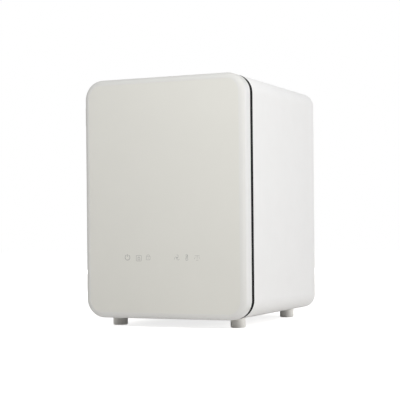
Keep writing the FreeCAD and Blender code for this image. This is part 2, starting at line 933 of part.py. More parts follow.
def chamber_ranges(grow):
    """The chamber's inner outline grown outward: its X range and its Z range."""
    return (-half_chamber - grow, half_chamber + grow), (floor_z - grow, ceiling_z + grow)


def chamber_slab(grow, y):
    x, z = chamber_ranges(grow)
    return slab(x, z, chamber_radius + grow, y)


def front_frame():
    """The black frame round the mouth, with a spigot in the case and seats for hinges and strikes."""
    plate = outline_slab(frame_inset, (frame_front_y, case_front_y))
    inset = case_wall + spigot_gap
    y = (case_front_y - frame_thickness / 2, case_front_y + spigot_length)
    spigot = cut(outline_slab(inset, y), [outline_slab(inset + spigot_wall, y)])
    bosses = []
    removed = [chamber_slab(0, (frame_front_y, case_front_y + spigot_length))]
    keep = outline_slab(inset, y)
    for level in hinge_levels:
        boss = box((-half_width + inset, leaf_range()[1]), y, span(level, hinge_leaf_height))
        clear = chamber_slab(liner_flange + spigot_gap, (case_front_y, case_front_y + spigot_length))
        bosses.append(boss.common(keep).cut(clear))
        removed.append(hinge_leaf(level, (frame_front_y, frame_front_y + hinge_leaf_thickness)))
        removed += [hinge_screw(x, z) for x, z in hinge_screw_places(level)]
    for level in catch_levels:
        removed.append(strike_plate(level))
    return cut(fuse([plate, spigot] + bosses), removed)


def chamber_liner():
    """The drawn stainless box with its front flange, the warm air opening and the exhaust slots."""
    shell = chamber_slab(liner_wall, (case_front_y, liner_rear_y))
    flange = chamber_slab(liner_flange, (case_front_y, case_front_y + liner_wall))
    hollow = chamber_slab(0, (case_front_y, chamber_rear_y))
    removed = [hollow]
    y = (chamber_rear_y, liner_rear_y)
    removed.append(slab(span(0, air_opening), span(air_z, air_opening), grille_radius, y))
    z = ceiling_z - chamber_radius - exhaust_slot_length / 2
    for index in range(exhaust_slot_count):
        x = (index - (exhaust_slot_count - 1) / 2) * exhaust_slot_pitch
        removed.append(box(span(x, exhaust_slot_height), y, span(z, exhaust_slot_length)))
    return cut(fuse([shell, flange]), removed)


def rack_level(name):
    return floor_z + rack_heights[name]


def rack_rail(level, side):
    """A C-shaped rail on one side wall, whose lower lip carries the rack's side rod."""
    rod_radius = rack_rod_diameter / 2
    slot = (level - rod_radius - rail_seat, level + rod_radius + rack_play)
    y = (case_front_y + rail_front_gap, chamber_rear_y - rail_rear_gap)
    outer = box((half_chamber - rail_depth, half_chamber), y, (slot[0] - rail_lip, slot[1] + rail_lip))
    channel = box((half_chamber - rail_depth, half_chamber - rail_web), y, slot)
    rail = cut(outer, [channel])
    stop = box((half_chamber - rail_depth, half_chamber), (y[1] - rail_lip, y[1]), slot)
    rail = fuse([rail, stop])
    return rail if side > 0 else both_sides(rail)[1]


def rack(name):
    """A welded rack: two side rods, a thinner rod across each end, a row of wires and a stretcher."""
    level = rack_level(name)
    half = half_chamber - rail_web - rack_side_gap - rack_rod_diameter / 2
    y0 = case_front_y + rack_front_gap
    y1 = chamber_rear_y - rack_rear_gap
    pieces = []
    side_y = (y0 - rack_overhang, y1 + rack_overhang)
    for x in (-half, half):
        pieces.append(rod((x, side_y[0], level), (x, side_y[1], level), rack_rod_diameter / 2))
    for y in (y0, y1):
        pieces.append(rod((-half, y, level), (half, y, level), rack_cross_diameter / 2))
    pitch = 2 * half / (rack_wire_count + 1)
    for index in range(rack_wire_count):
        x = (index + 1) * pitch - half
        pieces.append(rod((x, y0, level), (x, y1, level), rack_wire_diameter / 2))
    bottom = level - rack_rod_diameter / 2
    stretcher_y = span((y0 + y1) / 2, rack_stretcher_width)
    pieces.append(box((-half, half), stretcher_y, (bottom, bottom + rack_stretcher_thickness)))
    return fuse(pieces)


def upright_block(x, y, z, radius):
    """A block whose upright edges are rounded."""
    block = box(x, y, z)
    return block.makeFillet(radius, edges_along(block, Vector(0, 0, 1)))


def drip_tray():
    """The lift-out tray on the chamber's floor, with a rolled rim."""
    inner_half = half_chamber - chamber_radius - tray_side_gap
    x = (-inner_half - tray_rim, inner_half + tray_rim)
    y = (case_front_y + tray_front_gap, chamber_rear_y - tray_rear_gap)
    top = floor_z + tray_height
    inner_x = (-inner_half, inner_half)
    inner_y = (y[0] + tray_rim, y[1] - tray_rim)
    radius = tray_corner_radius - tray_rim
    rim = upright_block(x, y, (top - tray_wall, top), tray_corner_radius)
    basin = upright_block(inner_x, inner_y, (floor_z, top), radius)
    hollow_x = (inner_x[0] + tray_wall, inner_x[1] - tray_wall)
    hollow_y = (inner_y[0] + tray_wall, inner_y[1] - tray_wall)
    hollow = upright_block(hollow_x, hollow_y, (floor_z + tray_wall, top), radius - tray_wall)
    return cut(fuse([rim, basin]), [hollow])


# The lamps, each drawn along X with its mounting face above it


def place_lamp(shape, name):
    """Sets a lamp piece under the chamber's ceiling, or turns it onto the rear wall."""
    moved = shape.copy()
    if name == "upper":
        moved.translate(Vector(0, case_front_y + lamp_ceiling_setback, ceiling_z - lamp_standoff))
        return moved
    moved.rotate(Vector(0, 0, 0), Vector(1, 0, 0), -90)
    moved.translate(Vector(0, chamber_rear_y - lamp_standoff, floor_z + lamp_rear_height))
    return moved


def lamp_tube():
    half = lamp_length / 2 - lamp_cap_length
    return rod((-half, 0, 0), (half, 0, 0), lamp_diameter / 2)


def lamp_caps():
    """The two metal end caps with their contact pins."""
    inner = lamp_length / 2 - lamp_cap_length
    cap = rod((inner, 0, 0), (lamp_length / 2, 0, 0), lamp_diameter / 2)
    pins = [lamp_pin(side, 0) for side in (-1, 1)]
    return Part.makeCompound(both_sides(fuse([cap] + pins)))


def lamp_pin(side, gap):
    x = lamp_length / 2
    y = side * lamp_pin_spacing / 2
    return rod((x - 1.0, y, 0), (x + lamp_pin_length + gap, y, 0), lamp_pin_diameter / 2 + gap)


def lamp_socket(side):
    """A socket post that stands on the mounting face and takes one end of the lamp."""
    x = (lamp_length / 2 + lamp_socket_gap, lamp_length / 2 + lamp_socket_gap + lamp_socket_thickness)
    half = lamp_socket_width / 2
    post = box(x, (-half, half), (0, lamp_standoff))
    nose = rod((x[0], 0, 0), (x[1], 0, 0), half)
    holes = [lamp_pin(pin_side, lamp_socket_gap) for pin_side in (-1, 1)]
    socket = cut(fuse([post, nose]), holes)
    return socket if side > 0 else both_sides(socket)[1]


def lamp_reflector():
    """A folded polished sheet between the lamp and its mounting face."""
    half = lamp_length / 2 - reflector_end_gap
    top = lamp_standoff
    lower = lamp_diameter / 2 + reflector_ridge_gap
    ridge = reflector_ridge / 2
    edge = guard_width / 2 - guard_sheet - guard_clearance
    bend = edge - reflector_flange
    profile = [(-edge, top), (-bend, top), (-ridge, lower), (ridge, lower), (bend, top), (edge, top)]
    under = [(y, z - reflector_sheet) for y, z in reversed(profile)]
    return prism([(-half, y, z) for y, z in profile + under], (2 * half, 0, 0))


def lamp_guard():
    """A folded sheet cage over the lamp, with a window in its front and in each side between its ribs."""
    half = lamp_length / 2 - guard_end_gap
    top = lamp_standoff
    foot = guard_width / 2 + guard_foot
    wall = guard_width / 2
    nose = guard_nose / 2
    sheet = guard_sheet
    outside = [(foot, top), (foot, top - sheet), (wall, top - sheet), (nose, -guard_drop)]
    inside = [(wall - sheet, top), (nose - sheet, sheet - guard_drop)]
    left_outside = [(-y, z) for y, z in reversed(outside)]
    left_inside = [(-y, z) for y, z in inside]
    profile = outside + left_outside + left_inside + inside[::-1]
    shell = prism([(-half, y, z) for y, z in profile], (2 * half, 0, 0))
    pitch = (2 * half - guard_rib) / guard_windows
    windows = []
    for index in range(guard_windows):
        x = (index * pitch + guard_rib - half, (index + 1) * pitch - half)
        windows.append(box(x, span(0, guard_nose - 2 * guard_rib), (-guard_drop, -guard_drop / 2)))
        windows.append(box(x, (-foot, foot), (guard_rib - guard_drop, top - guard_rib)))
    return cut(shell, windows)


# Warm air


def air_grille():
    """The slotted plate over the warm air opening, inside the chamber."""
    y = (chamber_rear_y - grille_thickness, chamber_rear_y)
    plate = slab(span(0, grille_size), span(air_z, grille_size), grille_radius, y)
    plate = plate.makeChamfer(grille_edge, edges_on_plane(plate, y[0]))
    pitch = air_opening / grille_slot_count
    slots = []
    for index in range(grille_slot_count):
        z = air_z + (index - (grille_slot_count - 1) / 2) * pitch
        slots.append(box(span(0, grille_slot_length), y, span(z, grille_slot_height)))
    return cut(plate, slots)


def air_duct():
    """The square duct between the chamber and the fan, round the heater."""
    y = (liner_rear_y, fan_front_y)
    outer = slab(span(0, duct_size), span(air_z, duct_size), duct_radius, y)
    inner_size = duct_size - 2 * duct_wall
    inner = slab(span(0, inner_size), span(air_z, inner_size), duct_radius - duct_wall, y)
    return cut(outer, [inner])


def heater():
    """The heater in the duct: ceramic bars with a comb of thin fins between them."""
    inner = duct_size - 2 * duct_wall - 2 * heater_gap
    y = span((liner_rear_y + fan_front_y) / 2, heater_depth)
    x = span(0, inner)
    pieces = []
    pitch = (inner - heater_bar_height) / (heater_bars - 1)
    for index in range(heater_bars):
        z = air_z + (index - (heater_bars - 1) / 2) * pitch
        pieces.append(box(x, y, span(z, heater_bar_height)))
    fin_pitch = (inner - heater_fin_thickness) / (heater_fins - 1)
    for index in range(heater_fins):
        fin_x = (index - (heater_fins - 1) / 2) * fin_pitch
        fin_y = (y[0] + heater_fin_setback, y[1] - heater_fin_setback)
        pieces.append(box(span(fin_x, heater_fin_thickness), fin_y, span(air_z, inner)))
    bound = slab(x, span(air_z, inner), duct_radius - duct_wall, y)
    return fuse(pieces).common(bound)


def thermal_cutout():
    """The round safety switch on top of the duct, with its two tabs."""
    y = (liner_rear_y + fan_front_y) / 2
    z = air_z + duct_size / 2
    pieces = [rod((0, y, z), (0, y, z + cutout_height), cutout_diameter / 2)]
    width, thickness, length = cutout_tab_size
    root = z + cutout_height - cutout_tab_root
    for x in span(0, cutout_tab_spacing):
        pieces.append(box(span(x, width), span(y, thickness), (root, root + length)))
    return fuse(pieces)


def fan_housing():
    """The fan's square frame with a round bore, four struts and the motor's base."""
    y = (fan_front_y, fan_rear_y)
    frame = slab(span(0, duct_size), span(air_z, duct_size), duct_radius, y)
    removed = [rod((0, y[0], air_z), (0, y[1], air_z), fan_bore / 2)]
    for side_x in span(0, fan_screw_spacing):
        for side_z in span(air_z, fan_screw_spacing):
            removed.append(rod((side_x, y[0], side_z), (side_x, y[1], side_z), fan_screw_hole / 2))
    waist_y = span((y[0] + y[1]) / 2, fan_depth - 2 * fan_base_thickness)
    waist = box(span(0, duct_size), waist_y, span(air_z, duct_size))
    core = rod((0, y[0], air_z), (0, y[1], air_z), fan_waist_core / 2)
    removed.append(cut(waist, [core]))
    base_y = (fan_rear_y - fan_base_thickness, fan_rear_y)
    base = rod((0, base_y[0], air_z), (0, base_y[1], air_z), fan_base_diameter / 2)
    struts = []
    strut_end = (fan_bore / 2 + duct_size / 2) / 2
    for index in range(fan_strut_count):
        strut = box((0, strut_end), base_y, span(air_z, fan_strut_width))
        strut.rotate(Vector(0, 0, air_z), Vector(0, 1, 0), 45 + 360 / fan_strut_count * index)
        struts.append(strut)
    bearing_seat = rod((0, base_y[0], air_z), (0, base_y[1], air_z), fan_bearing_diameter / 2)
    return cut(fuse([cut(frame, removed), base] + struts), [bearing_seat])


def fan_bearing():
    y = (fan_rear_y - fan_base_thickness, fan_rear_y)
    ring = rod((0, y[0], air_z), (0, y[1], air_z), fan_bearing_diameter / 2)
    bore = rod((0, y[0], air_z), (0, y[1], air_z), fan_shaft_diameter / 2 + fan_running_gap)
    return cut(ring, [bore])


def blade_section(radius, pitch_angle):
    """One thin cambered section of a fan blade, standing at a radius from the shaft."""
    pitch = math.radians(pitch_angle)
    half = fan_blade_chord / 2
    thickest = -half * fan_blade_thickest_share
    upper_side = fan_camber + fan_blade_thickness / 2
    lower_side = fan_camber - fan_blade_thickness / 2
    points = []
    for along, across in ((-half, 0), (thickest, upper_side), (half, 0), (thickest, lower_side)):
        turned_x = along * math.cos(pitch) - across * math.sin(pitch)
        turned_y = along * math.sin(pitch) + across * math.cos(pitch)
        points.append(Vector(turned_x, turned_y, radius))
    upper = Part.BSplineCurve()
    upper.interpolate(points[:3])
    lower = Part.BSplineCurve()
    lower.interpolate([points[2], points[3], points[0]])
    return Part.Wire([upper.toShape(), lower.toShape()])


def fan_rotor():
    """The impeller: a cup-shaped hub on its shaft with twisted blades lofted from root to tip."""
    rear = fan_rear_y - fan_base_thickness - fan_hub_clearance
    front = rear - fan_hub_length
    radius = fan_hub_diameter / 2
    hub = rod((0, front, air_z), (0, rear, air_z), radius)
    hub = hub.makeChamfer(fan_hub_edge, edges_on_plane(hub, front))
    cup = rod((0, front + fan_hub_wall, air_z), (0, rear, air_z), radius - fan_hub_wall)
    boss_y = (front + fan_hub_wall / 2, rear - fan_hub_wall)
    boss = rod((0, boss_y[0], air_z), (0, boss_y[1], air_z), fan_bearing_diameter / 2)
    shaft_end = fan_rear_y - fan_shaft_end_gap
    shaft = rod((0, boss_y[0], air_z), (0, shaft_end, air_z), fan_shaft_diameter / 2)
    tip = fan_bore / 2 - fan_tip_gap
    root = radius - fan_hub_wall / 2
    sections = [blade_section(root, fan_blade_root_pitch), blade_section(tip, fan_blade_tip_pitch)]
    blade = Part.makeLoft(sections, True, False)
    blade = blade.common(rod((0, -fan_depth, 0), (0, fan_depth, 0), tip))
    blades = []
    for index in range(fan_blades):
        turned = blade.copy()
        turned.rotate(Vector(0, 0, 0), Vector(0, 1, 0), 360 / fan_blades * index)
        turned.translate(Vector(0, (front + rear) / 2, air_z))
        blades.append(turned.cut(cup))
    return fuse([hub.cut(cup), boss, shaft] + blades)


# The filter drawer and its housing


def filter_ranges(gap):
    """The drawer's body, grown by a gap: its X, Y and Z ranges."""
    x, z = filter_opening(gap)
    return x, (filter_front_y - gap, flange_front_y), z


def filter_housing():
    """The guide box of the drawer, open to the slots below, to the fan above and to the rear."""
    x, y, z = filter_ranges(filter_gap)
    top = z[1] + housing_wall
    outer_x = (x[0] - housing_wall, x[1] + housing_wall)
    outer = box(outer_x, (y[0] - housing_wall, y[1]), (case_floor_z, top))
    channel = box(x, y, z)
    open_x = (x[0] + housing_ledge, x[1] - housing_ledge)
    under = box(open_x, (y[0] + housing_ledge, y[1] - housing_ledge), (case_floor_z, z[0]))
    air_exit = box(open_x, (liner_rear_y + housing_ledge, y[1] - housing_ledge), (z[1], top))
    return cut(outer, [channel, under, air_exit])


def filter_tray():
    """The drawer: a frame for the filter with ledges, and a face with a finger scoop."""
    x, y, z = filter_ranges(0)
    body = slab(x, z, filter_edge, (y[0], cover_rear_y))
    rear = y[1] - pull_depth
    wall = filter_wall
    bed = box((x[0] + wall, x[1] - wall), (y[0] + wall, rear), (z[0] + filter_ledge, z[1]))
    margin = filter_window_margin
    window = box((x[0] + margin, x[1] - margin), (y[0] + margin, rear + wall - margin), z)
    scoop_y = (cover_rear_y - pull_depth, cover_rear_y)
    scoop = slab(span(0, pull_width), span((z[0] + z[1]) / 2, pull_height), pull_corner, scoop_y)
    scoop = scoop.makeChamfer(pull_edge, edges_on_plane(scoop, scoop_y[0]))
    return cut(body, [bed, window, scoop])


def filter_media():
    """The pleated filter that lies on the drawer's ledges."""
    x, y, z = filter_ranges(0)
    gap = filter_wall + filter_media_gap
    x0, x1 = x[0] + gap, x[1] - gap
    y0, y1 = y[0] + gap, y[1] - pull_depth - filter_media_gap
    z0 = z[0] + filter_ledge
    pitch = (x1 - x0) / filter_pleats
    core_z = z0 + filter_media_core
    upper = []
    for index in range(filter_pleats):
        upper.append((x0 + index * pitch, core_z))
        upper.append((x0 + (index + 0.5) * pitch, z0 + filter_media_height))
    upper.append((x1, core_z))
    points = [(x0, z0)] + upper + [(x1, z0)]
    return prism([(px, y0, pz) for px, pz in points], (0, y1 - y0, 0))


# Power inlet, boards and carriers


def inlet_place():
    """The middle of the inlet in the rear cover."""
    return half_width - inlet_side_margin, bottom_z + inlet_base


def inlet_block(grow, y):
    """The inlet's body in the rear cover, grown by a margin."""
    x, z = inlet_place()
    return slab(span(x, inlet_width + 2 * grow), span(z, inlet_height + 2 * grow), inlet_corner, y)


def inlet_recess():
    """The figure-of-eight hollow that a lead's connector enters."""
    x, z = inlet_place()
    y = (cover_rear_y - inlet_recess_depth, cover_rear_y)
    shapes = [box(span(x, inlet_pin_spacing), y, span(z, inlet_recess_waist))]
    for pin_x in span(x, inlet_pin_spacing):
        shapes.append(rod((pin_x, y[0], z), (pin_x, y[1], z), inlet_recess_radius))
    return fuse(shapes)


def inlet_pins():
    x, z = inlet_place()
    bottom = cover_rear_y - inlet_recess_depth
    tip = bottom + inlet_pin_length
    pins = []
    for pin_x in span(x, inlet_pin_spacing):
        pin = rod((pin_x, bottom, z), (pin_x, tip, z), inlet_pin_diameter / 2)
        pins.append(pin.makeChamfer(inlet_pin_edge, edges_on_plane(pin, tip)))
    return Part.makeCompound(pins)


def power_inlet():
    """The two-pole inlet: its body in the cover, and a shoulder behind it."""
    body = inlet_block(0, (cover_rear_y - inlet_depth, cover_rear_y))
    shoulder = inlet_block(inlet_shoulder, (flange_rear_y - inlet_shoulder, flange_rear_y))
    return cut(fuse([body, shoulder]), [inlet_recess()])


def board_plane():
    """The depth of the boards' rear face, at the front ends of the standoffs."""
    return flange_rear_y - standoff_length


def boards():
    """The middle and the length of each board on the rear cover."""
    return ((-board_x, power_board_length), (board_x, main_board_length))


def board_standoffs():
    """The square moulded posts that carry both boards on the rear cover."""
    posts = []
    for x, length in boards():
        for px in span(x, board_width - 2 * standoff_inset):
            for pz in span(board_z, length - 2 * standoff_inset):
                x_range, z_range = span(px, standoff_width), span(pz, standoff_width)
                posts.append(box(x_range, (board_plane(), flange_rear_y), z_range))
    return Part.makeCompound(posts)


def bare_board(x, length):
    y = board_plane()
    return slab(span(x, board_width), span(board_z, length), board_corner, (y - board_thickness, y))


def on_board(x, z, size):
    """A block that stands forward from a board's face."""
    face = board_plane() - board_thickness
    return box(span(x, size[0]), (face - size[1], face), span(z, size[2]))


def can_on_board(x, z, diameter, height):
    """A round can that stands forward from a board's face."""
    face = board_plane() - board_thickness
    return rod((x, face - height, z), (x, face, z), diameter / 2)


def main_board():
    """The control board: processor, two relays and a row of connectors."""
    x0, x1 = span(board_x, board_width)
    base = board_z - main_board_length / 2 + part_edge_gap
    pieces = [bare_board(board_x, main_board_length), on_board(board_x, board_z, processor_size)]
    for index in range(relay_count):
        z = base + relay_size[2] / 2 + index * relay_pitch
        pieces.append(on_board(x1 - part_edge_gap - relay_size[0] / 2, z, relay_size))
    for index in range(connector_count):
        z = base + connector_size[2] / 2 + index * connector_pitch
        pieces.append(on_board(x0 + part_edge_gap + connector_size[0] / 2, z, connector_size))
    return fuse(pieces)


def power_board():
    """The supply board: transformer, filter choke, finned heat sink and two tall capacitors."""
    x0, x1 = span(-board_x, board_width)
    base = board_z - power_board_length / 2 + part_edge_gap
    pieces = [bare_board(-board_x, power_board_length)]
    for size in (core_size, winding_size):
        pieces.append(on_board(-board_x, board_z, size))
    can_x = x0 + part_edge_gap + capacitor_diameter / 2
    for index in range(capacitor_count):
        z = base + capacitor_diameter / 2 + index * capacitor_pitch
        pieces.append(can_on_board(can_x, z, capacitor_diameter, capacitor_height))
    pieces.append(can_on_board(-board_x, base + choke_diameter / 2, choke_diameter, choke_height))
    sink_x = x1 - part_edge_gap
    pieces.append(on_board(sink_x, board_z, heat_sink_size))
    fin_x = sink_x - (heat_sink_size[0] + heat_sink_fin[0]) / 2
    for index in range(heat_sink_fins):
        z = board_z + (index - (heat_sink_fins - 1) / 2) * heat_sink_pitch
        pieces.append(on_board(fin_x, z, heat_sink_fin))
    return fuse(pieces)


def chassis_plate():
    """The steel plate on the case's floor that carries the supports and the ballast."""
    x = (-half_width + chassis_side_margin, half_width - chassis_side_margin)
    y = (front_y + chassis_front_margin, chassis_rear_y - filter_gap)
    return upright_block(x, y, (case_floor_z, case_floor_z + chassis_thickness), chassis_corner)


def liner_support(middle):
    """A folded channel with feet, between the chassis plate and the liner's floor."""
    base = case_floor_z + chassis_thickness
    top = floor_z - liner_wall
    y0, y1 = span(middle, support_width)
    t = support_sheet
    profile = [
        (y0 - support_foot, base), (y0 + t, base), (y0 + t, top - t), (y1 - t, top - t), (y1 - t, base),
        (y1 + support_foot, base), (y1 + support_foot, base + t), (y1, base + t), (y1, top),
        (y0, top), (y0, base + t), (y0 - support_foot, base + t),
    ]
    half = half_chamber - support_side_margin
    return prism([(-half, y, z) for y, z in profile], (2 * half, 0, 0))


def lamp_ballast():
    """The lamps' ballast in its folded housing, with a flange at each end."""
    length, width, height = ballast_size
    tab_length, tab_width, tab_height = ballast_tab
    base = case_floor_z + chassis_thickness
    middle = sum(support_middles) / 2
    body = upright_block(span(0, length), span(middle, width), (base, base + height), ballast_corner)
    tab_x = span(0, length + 2 * tab_length)
    flange = upright_block(tab_x, span(middle, tab_width), (base, base + tab_height), ballast_tab_corner)
    return fuse([body, flange])


def temperature_sensor():
    """A sensor bead in its clip on the chamber's right wall."""
    y = chamber_rear_y - sensor_rear_gap
    z = ceiling_z - sensor_drop
    thickness, length, height = sensor_clip_size
    clip = box((half_chamber - thickness, half_chamber), span(y, length), span(z, height))
    x = half_chamber - thickness - sensor_bead_diameter / 2 + sensor_bead_seat
    y0, y1 = span(y, sensor_bead_length)
    bead = rod((x, y0, z), (x, y1, z), sensor_bead_diameter / 2)
    return fuse([clip, bead])


def reed_switch():
    """The door sensor behind the front frame, level with the upper magnet."""
    spigot_inner = half_width - case_wall - spigot_gap - spigot_wall
    x = (half_chamber + liner_flange + spigot_gap, spigot_inner - spigot_gap)
    y = (case_front_y, case_front_y + reed_switch_depth)
    return box(x, y, span(catch_levels[1], reed_switch_length))


def all_nodes():
    """Every piece of the cabinet by its node name."""
    nodes = {
        "outer_case": outer_case(),
        "rear_cover": rear_cover(),
        "rear_cover_screws": Part.makeCompound([cover_screw(place) for place in cover_screw_places()]),
        "front_frame": front_frame(),
        "chamber_liner": chamber_liner(),
        "drip_tray": drip_tray(),
        "air_grille": air_grille(),
        "air_duct": air_duct(),
        "ptc_heater": heater(),
        "thermal_cutout": thermal_cutout(),
        "fan_housing": fan_housing(),
        "fan_bearing": fan_bearing(),
        "fan_impeller": fan_rotor(),
        "filter_housing": filter_housing(),
        "filter_tray": filter_tray(),
        "filter_media": filter_media(),
        "power_inlet": power_inlet(),
        "inlet_pins": inlet_pins(),
        "board_standoffs": board_standoffs(),
        "main_board": main_board(),
        "power_board": power_board(),
        "chassis_plate": chassis_plate(),
        "liner_supports": Part.makeCompound([liner_support(middle) for middle in support_middles]),
        "lamp_ballast": lamp_ballast(),
        "temperature_sensor": temperature_sensor(),
        "reed_switch": reed_switch(),
        "door_frame": door_frame(),
        "door_front_panel": door_front_panel(),
        "door_inner_panel": door_inner_panel(),
        "door_gasket": door_gasket(),
        "door_screws": Part.makeCompound([door_screw(x, z) for x, z in door_post_places()]),
        "touch_board": touch_board(),
        "touch_key_pads": key_pads(),
        "hinge_bushes": hinge_bushes(),
        "hinge_pins": Part.makeCompound([hinge_pin(level) for level in hinge_levels]),
        "door_magnets": Part.makeCompound([door_magnet(level) for level in catch_levels]),
        "strike_plates": Part.makeCompound([strike_plate(level) for level in catch_levels]),
    }
    for name, place in foot_places().items():
        nodes[name] = foot(place)
    nodes["foot_screws"] = Part.makeCompound([foot_screw(place) for place in foot_places().values()])
    screws = []
    for name, level in zip(("lower", "upper"), hinge_levels):
        nodes[name + "_hinge_bracket"] = hinge_bracket(level)
        screws += [hinge_screw(x, z) for x, z in hinge_screw_places(level)]
    nodes["hinge_screws"] = Part.makeCompound(screws)
    for name in rack_heights:
        nodes[name] = rack(name)
        for side, sign in (("left", -1), ("right", 1)):
            nodes[name + "_rail_" + side] = rack_rail(rack_level(name), sign)
    nodes["lamp_end_caps"] = Part.makeCompound([place_lamp(lamp_caps(), name) for name in ("upper", "rear")])
    for name in ("upper", "rear"):
        nodes[name + "_lamp_tube"] = place_lamp(lamp_tube(), name)
        nodes[name + "_lamp_reflector"] = place_lamp(lamp_reflector(), name)
        nodes[name + "_lamp_guard"] = place_lamp(lamp_guard(), name)
        room = chamber_slab(-socket_wall_gap, (case_front_y, chamber_rear_y))
        sockets = [place_lamp(lamp_socket(side), name).common(room) for side in (-1, 1)]
        nodes[name + "_lamp_sockets"] = Part.makeCompound(sockets)
    return nodes


os.makedirs("parts", exist_ok=True)
for node_name, node_shape in all_nodes().items():
    node_shape.exportStep("parts/" + node_name + ".step")
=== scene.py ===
import json
import math

import bpy
from mathutils import Matrix, Vector


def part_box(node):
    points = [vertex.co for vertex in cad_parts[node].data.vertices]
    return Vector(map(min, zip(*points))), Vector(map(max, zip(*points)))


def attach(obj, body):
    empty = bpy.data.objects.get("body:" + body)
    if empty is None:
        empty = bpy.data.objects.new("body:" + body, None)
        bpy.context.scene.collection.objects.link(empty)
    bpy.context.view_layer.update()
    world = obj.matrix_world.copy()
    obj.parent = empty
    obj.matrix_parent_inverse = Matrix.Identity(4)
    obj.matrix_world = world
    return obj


# The looks of a cabinet sterilizer for baby bottles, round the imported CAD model, in metres
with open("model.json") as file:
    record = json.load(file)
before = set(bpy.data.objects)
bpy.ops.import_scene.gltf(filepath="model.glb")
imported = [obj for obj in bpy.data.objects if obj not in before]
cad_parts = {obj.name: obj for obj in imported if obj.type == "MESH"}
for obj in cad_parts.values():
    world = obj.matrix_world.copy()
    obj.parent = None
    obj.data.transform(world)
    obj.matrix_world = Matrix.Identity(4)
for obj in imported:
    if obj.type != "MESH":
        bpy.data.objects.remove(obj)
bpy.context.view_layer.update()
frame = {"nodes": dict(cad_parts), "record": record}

MM = 0.001

# Camera, fitted to the photograph: angles in degrees, focal length and centre in the image's pixels
IMAGE_SIZE = 400
CAMERA_TURN = 23.255
CAMERA_ROLL = -0.541
CAMERA_FOCAL = 1161.9
CAMERA_CENTRE = (205.79, 229.84)
CAMERA_DISTANCE = 2.1383
CAMERA_AIM = (0, 0, 0.16666)
CAMERA_FILM_MM = 36
CAMERA_REACH = 100


def aim_camera():
    """The camera at the photograph's place, level, with a small roll and shift."""
    turn = math.radians(CAMERA_TURN)
    roll = math.radians(CAMERA_ROLL)
    forward = Vector((-math.sin(turn), math.cos(turn), 0))
    right = Vector((math.cos(turn), math.sin(turn), 0))
    up = right.cross(forward)
    rolled_right = math.cos(roll) * right + math.sin(roll) * up
    rolled_up = math.cos(roll) * up - math.sin(roll) * right
    data = bpy.data.cameras.new("camera")
    data.sensor_fit = "HORIZONTAL"
    data.sensor_width = CAMERA_FILM_MM
    data.lens = CAMERA_FOCAL * CAMERA_FILM_MM / IMAGE_SIZE
    data.shift_x = -(CAMERA_CENTRE[0] / IMAGE_SIZE - 0.5)
    data.shift_y = CAMERA_CENTRE[1] / IMAGE_SIZE - 0.5
    data.clip_end = CAMERA_REACH
    camera = bpy.data.objects.new("camera", data)
    bpy.context.scene.collection.objects.link(camera)
    place = Matrix((rolled_right, rolled_up, -forward)).transposed().to_4x4()
    place.translation = Vector(CAMERA_AIM) - forward * CAMERA_DISTANCE
    camera.matrix_world = place
    bpy.context.scene.camera = camera


# Tools for materials

# The part of its range from 0 to 1 that noise nearly always stays in
NOISE_LOW = 0.3
NOISE_HIGH = 0.7


def new_tree(name):
    """A bare material and its node tree."""
    material = bpy.data.materials.new(name)
    material.use_nodes = True
    material.node_tree.nodes.clear()
    return material, material.node_tree


def add(tree, kind, inputs, **settings):
    """One node, with its settings, and its inputs given as values or as other nodes' sockets."""
    node = tree.nodes.new(kind)
    for key, value in settings.items():
        setattr(node, key, value)
    for key, value in inputs.items():
        if isinstance(value, bpy.types.NodeSocket):
            tree.links.new(value, node.inputs[key])
        else:
            node.inputs[key].default_value = value
    return node


def noise(tree, size, stretch=(1, 1, 1), detail=2, rough=0.5):
    """Noise with features of a size in metres, stretched along the axes, as a value from 0 to 1."""
    where = add(tree, "ShaderNodeTexCoord", {}).outputs["Object"]
    scale = Vector([1 / (size * s) for s in stretch])
    place = add(tree, "ShaderNodeMapping", {"Vector": where, "Scale": scale})
    texture = add(tree, "ShaderNodeTexNoise", {
        "Vector": place.outputs["Vector"], "Scale": 1.0, "Detail": detail, "Roughness": rough})
    return texture.outputs["Fac"]


def remap(tree, value, low, high, start=NOISE_LOW, end=NOISE_HIGH):
    """A value moved from the range start to end into the range low to high, clamped."""
    node = add(tree, "ShaderNodeMapRange", {
        "Value": value, "From Min": start, "From Max": end, "To Min": low, "To Max": high})
    return node.outputs["Result"]


def patches(tree, size, detail, rough=0.5):
    """Soft patches of a size in metres, as a value that uses the whole range from 0 to 1."""
    return remap(tree, noise(tree, size, detail=detail, rough=rough), low=0, high=1)


def blend_colour(tree, share, first, second):
    """A colour between two, by a value from 0 to 1."""
    node = tree.nodes.new("ShaderNodeMix")
    node.data_type = "RGBA"
    tree.links.new(share, node.inputs["Factor"])
    for socket, colour in (("A", first), ("B", second)):
        found = [s for s in node.inputs if s.name == socket and s.type == "RGBA"][0]
        if isinstance(colour, bpy.types.NodeSocket):
            tree.links.new(colour, found)
        else:
            found.default_value = (*colour, 1)
    return [s for s in node.outputs if s.type == "RGBA"][0]


def shade(colour, factor):
    """A colour made brighter or darker by a factor."""
    return tuple(min(1, c * factor) for c in colour)


def add_values(tree, first, second, share):
    """The first value plus a share of the second."""
    node = add(tree, "ShaderNodeMath", {0: second, 1: share, 2: first}, operation="MULTIPLY_ADD")
    return node.outputs[0]


def greater(tree, first, second):
    """The greater of two values."""
    return add(tree, "ShaderNodeMath", {0: first, 1: second}, operation="MAXIMUM").outputs[0]


def bump(tree, height, distance):
    """Relief of a depth in metres, where the height goes from 0 to 1."""
    node = add(tree, "ShaderNodeBump", {"Height": height, "Distance": distance, "Strength": 1.0})
    return node.outputs["Normal"]


